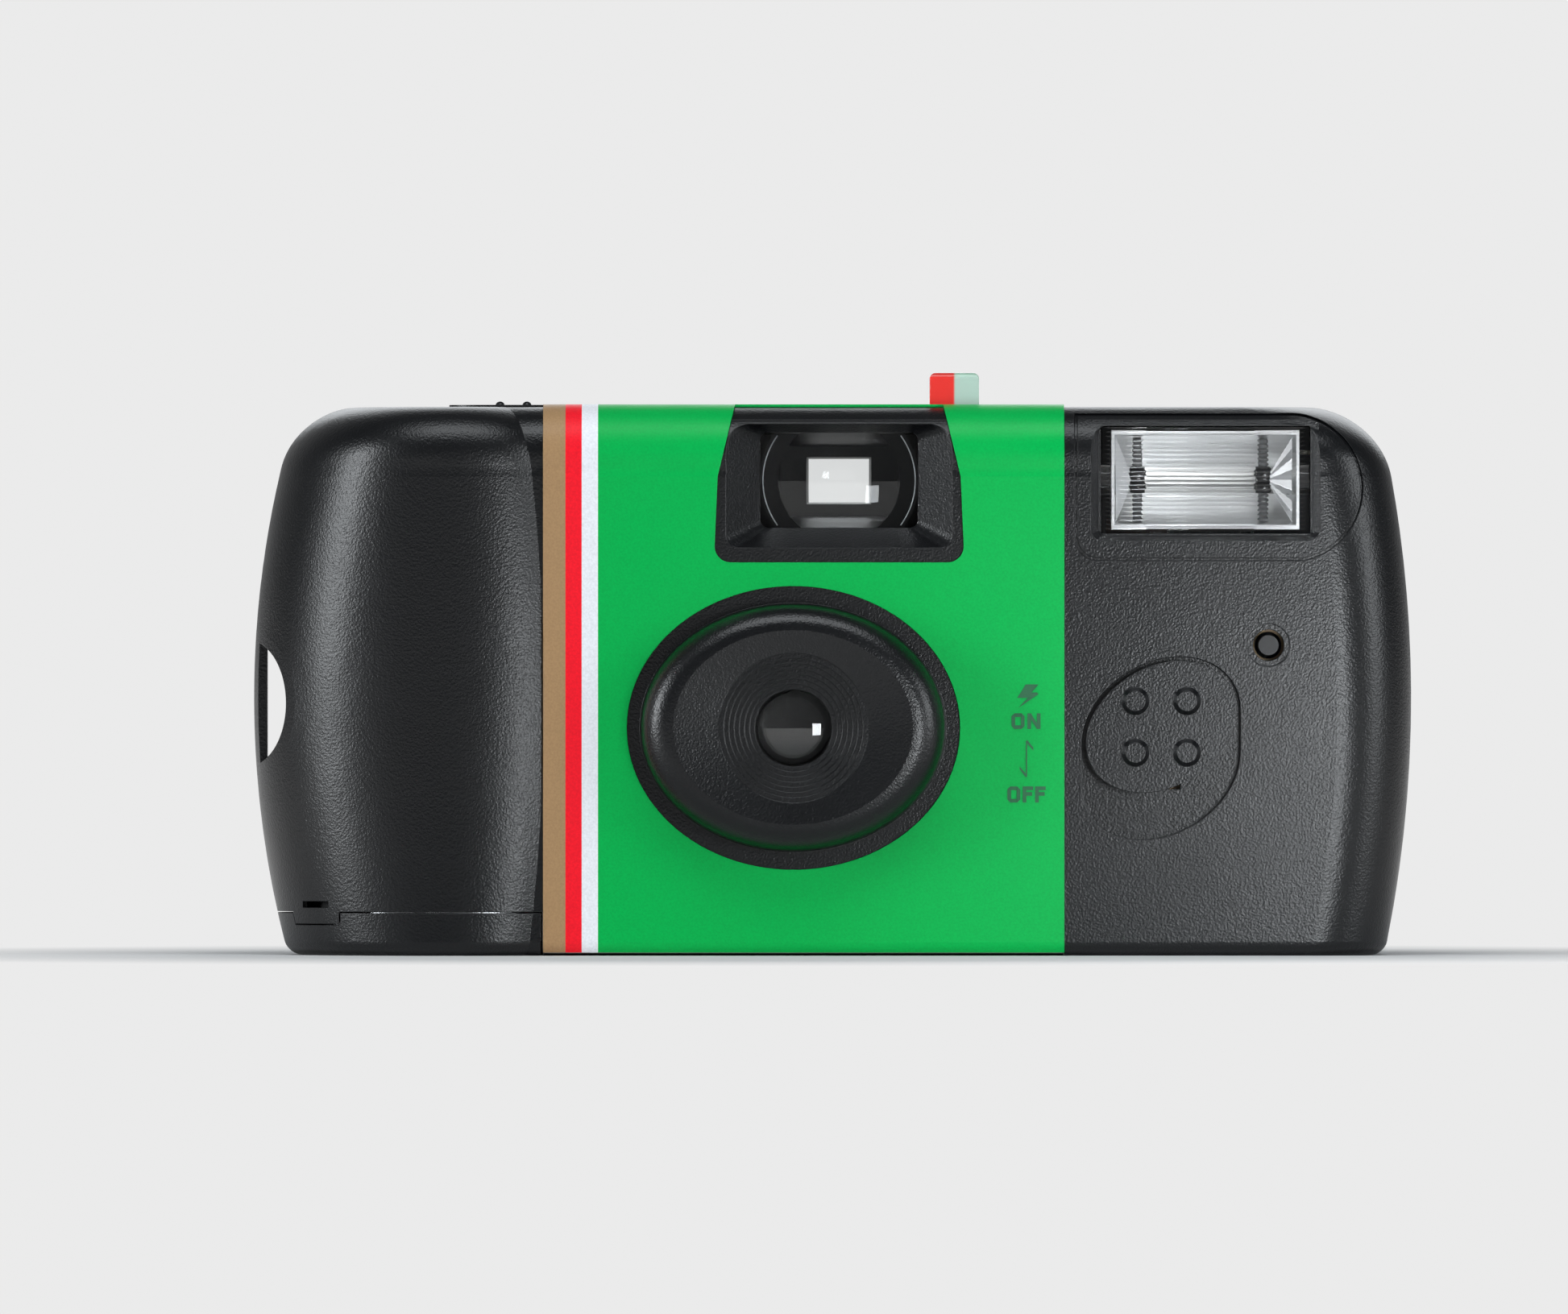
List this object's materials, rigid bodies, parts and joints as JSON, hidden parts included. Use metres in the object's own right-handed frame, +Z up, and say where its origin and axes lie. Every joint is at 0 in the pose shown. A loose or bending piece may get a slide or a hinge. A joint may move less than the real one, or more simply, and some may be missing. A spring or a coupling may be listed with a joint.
{
  "type": "disposable film camera",
  "caption": "Slim single-use film camera with a raised lens ring, see-through viewfinder, flash window, sliding flash switch and a printed band round its middle.",
  "frame": {"origin": "middle of the footprint, on the surface the camera stands on", "axes": "+X along the width, towards the flash end; the lens looks along -Y; +Z up"},
  "size_m": [0.108, 0.034, 0.0543],
  "materials": {
    "black_case": "moulded black polystyrene with a fine pebbled grain",
    "black_inner": "smooth dull black moulded plastic",
    "printed_wrap": "glossy printed label film in plain green with tan, red and white edge stripes",
    "clear_optic": "clear polished acrylic",
    "ribbed_window": "clear acrylic with fine moulded ribs",
    "light_guide": "clear acrylic light guide lit from inside",
    "reflector_metal": "bright pressed aluminium",
    "tube_glass": "clear glass tube",
    "spring_steel": "bright spring wire",
    "contact_metal": "plated contact strip",
    "cartridge_metal": "thin lacquered sheet steel",
    "grey_plastic": "moulded grey plastic",
    "white_plastic": "smooth white plastic",
    "film_base": "brown film base",
    "felt": "black velvet pile",
    "board": "phenolic board",
    "capacitor_sleeve": "dark shrink sleeve over an aluminium can",
    "winding": "copper winding on a ferrite core",
    "component_body": "moulded epoxy",
    "resistor_body": "lacquered film resistor",
    "lamp_glass": "neon lamp",
    "battery_jacket": "plain jacket round a steel can"
  },
  "bodies": {
    "camera_body": {"front_cover": "black_case", "rear_cover": "black_case", "wrap_label": "printed_wrap", "main_body": "black_inner", "lens_holder": "black_inner", "taking_lens": "clear_optic", "shutter_return_spring": "spring_steel", "drive_lever_spring": "spring_steel", "button_spring": "spring_steel", "wind_pawl": "grey_plastic", "cartridge_shell": "cartridge_metal", "cartridge_end_caps": "cartridge_metal", "cartridge_felt": "felt", "film_strip": "film_base", "counter_window": "clear_optic", "viewfinder_housing": "black_inner", "viewfinder_front_lens": "clear_optic", "viewfinder_eyepiece": "clear_optic", "flash_window": "ribbed_window", "flash_reflector": "reflector_metal", "flash_tube": "tube_glass", "flash_tube_caps": "contact_metal", "circuit_board": "board", "main_capacitor": "capacitor_sleeve", "transformer": "winding", "trigger_coil": "winding", "transistor": "component_body", "resistors": "resistor_body", "ready_lamp": "lamp_glass", "battery": "battery_jacket", "battery_contact_lower": "contact_metal", "battery_contact_upper": "contact_metal", "sync_contact": "contact_metal", "charge_contact": "contact_metal"},
    "film_door": {"film_door": "black_case"},
    "thumbwheel": {"thumbwheel": "black_inner"},
    "cartridge_spool": {"cartridge_spool": "black_inner"},
    "supply_spool": {"supply_spool": "black_inner", "film_supply_roll": "film_base"},
    "sprocket": {"sprocket_wheel": "white_plastic"},
    "counter_dial": {"counter_dial": "white_plastic"},
    "shutter_button": {"shutter_button": "black_case"},
    "release_lever": {"release_lever": "grey_plastic"},
    "drive_lever": {"shutter_drive_lever": "grey_plastic"},
    "shutter_blade": {"shutter_blade": "black_inner"},
    "flash_switch": {"flash_switch_knob": "black_case", "flash_switch_carrier": "grey_plastic", "ready_light_guide": "light_guide"}
  },
  "joints": [
    {"name": "film_door_swing", "type": "hinge", "parent": "camera_body", "child": "film_door", "pos_m": [-0.036, 0.0129, 0.00065], "axis": [1, 0, 0], "range_deg": [0, 95]},
    {"name": "thumbwheel_turn", "type": "hinge", "parent": "camera_body", "child": "thumbwheel", "pos_m": [-0.036, 0.0016, 0.0467], "axis": [0, 0, 1], "continuous": true},
    {"name": "cartridge_spool_turn", "type": "hinge", "parent": "camera_body", "child": "cartridge_spool", "pos_m": [-0.036, 0.0016, 0.0233], "axis": [0, 0, 1], "continuous": true},
    {"name": "supply_spool_turn", "type": "hinge", "parent": "camera_body", "child": "supply_spool", "pos_m": [0.0285, 0.0032, 0.0233], "axis": [0, 0, 1], "continuous": true},
    {"name": "sprocket_turn", "type": "hinge", "parent": "camera_body", "child": "sprocket", "pos_m": [-0.0155, 0.00612, 0.0374], "axis": [0, 0, 1], "continuous": true},
    {"name": "counter_dial_turn", "type": "hinge", "parent": "camera_body", "child": "counter_dial", "pos_m": [-0.0155, 0.001, 0.0485], "axis": [0, 0, 1], "continuous": true},
    {"name": "shutter_button_press", "type": "slide", "parent": "camera_body", "child": "shutter_button", "axis": [0, 0, 1], "range_m": [-0.0008, 0], "stiffness_N_per_m": 600, "deforming": ["button_spring"]},
    {"name": "release_lever_tilt", "type": "hinge", "parent": "camera_body", "child": "release_lever", "pos_m": [-0.015, -0.0055, 0.0412], "axis": [0, 1, 0], "range_deg": [-7.6, 0]},
    {"name": "drive_lever_swing", "type": "hinge", "parent": "camera_body", "child": "drive_lever", "pos_m": [0.0014, -0.001, 0.0355], "axis": [0, 0, 1], "range_deg": [-25, 0], "stiffness_Nm_per_rad": 0.002},
    {"name": "shutter_blade_swing", "type": "hinge", "parent": "camera_body", "child": "shutter_blade", "pos_m": [0.0032, -0.0098, 0.027], "axis": [0, 1, 0], "range_deg": [0, 35], "stiffness_Nm_per_rad": 0.0005},
    {"name": "flash_switch_slide", "type": "slide", "parent": "camera_body", "child": "flash_switch", "axis": [0, 0, 1], "range_m": [-0.004, 0]}
  ],
  "couplings": [
    {"joint": "cartridge_spool_turn", "follows": "thumbwheel_turn", "ratio": 1},
    {"joint": "sprocket_turn", "follows": "thumbwheel_turn", "ratio": 1},
    {"joint": "supply_spool_turn", "follows": "thumbwheel_turn", "ratio": 0.73},
    {"joint": "counter_dial_turn", "follows": "thumbwheel_turn", "ratio": -0.0333},
    {"joint": "release_lever_tilt", "follows": "shutter_button_press", "rad_per_m": 165}
  ]
}
